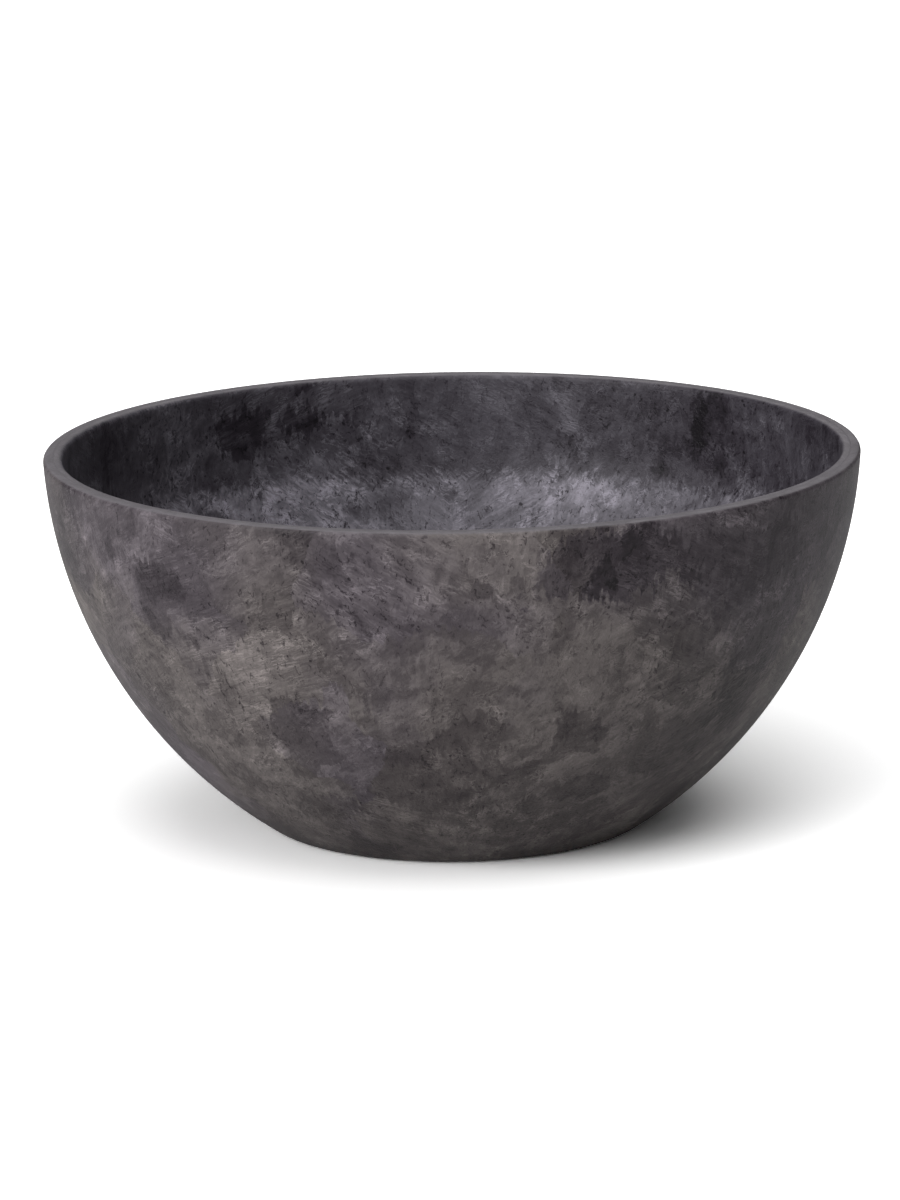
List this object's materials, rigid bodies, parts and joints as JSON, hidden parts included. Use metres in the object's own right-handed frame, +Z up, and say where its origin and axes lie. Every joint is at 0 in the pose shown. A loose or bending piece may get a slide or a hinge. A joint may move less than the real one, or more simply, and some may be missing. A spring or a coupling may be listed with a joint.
{
  "type": "bowl planter",
  "caption": "Round bowl planter with a curved stone-look wall, flat rim and recessed foot, holding a lift-out perforated plate over a water reservoir with overflow pipe and drain plug.",
  "frame": {"origin": "centre of the foot ring, on the surface that the bowl stands on", "axes": "+Z up along the bowl's axis, +X along the weep groove under the foot, -Y towards the viewer"},
  "size_m": [0.3997, 0.3998, 0.186],
  "materials": {
    "stone_composite": "matte, trowelled charcoal mottle",
    "black_polypropylene": "fine moulded texture",
    "black_rubber": "matte"
  },
  "bodies": {
    "bowl": {"bowl_shell": "stone_composite", "drain_grommet": "black_rubber", "overflow_pipe": "black_polypropylene"},
    "insert": {"drainage_plate": "black_polypropylene", "plate_leg_1": "black_polypropylene", "plate_leg_2": "black_polypropylene", "plate_leg_3": "black_polypropylene", "plate_leg_4": "black_polypropylene"},
    "plug": {"drain_plug": "black_rubber"}
  },
  "joints": [
    {"name": "insert_lift", "type": "slide", "parent": "bowl", "child": "insert", "axis": [0, 0, 1], "range_m": [0, 0.18]},
    {"name": "plug_pull", "type": "slide", "parent": "bowl", "child": "plug", "axis": [0, 0, -1], "range_m": [0, 0.025]}
  ]
}
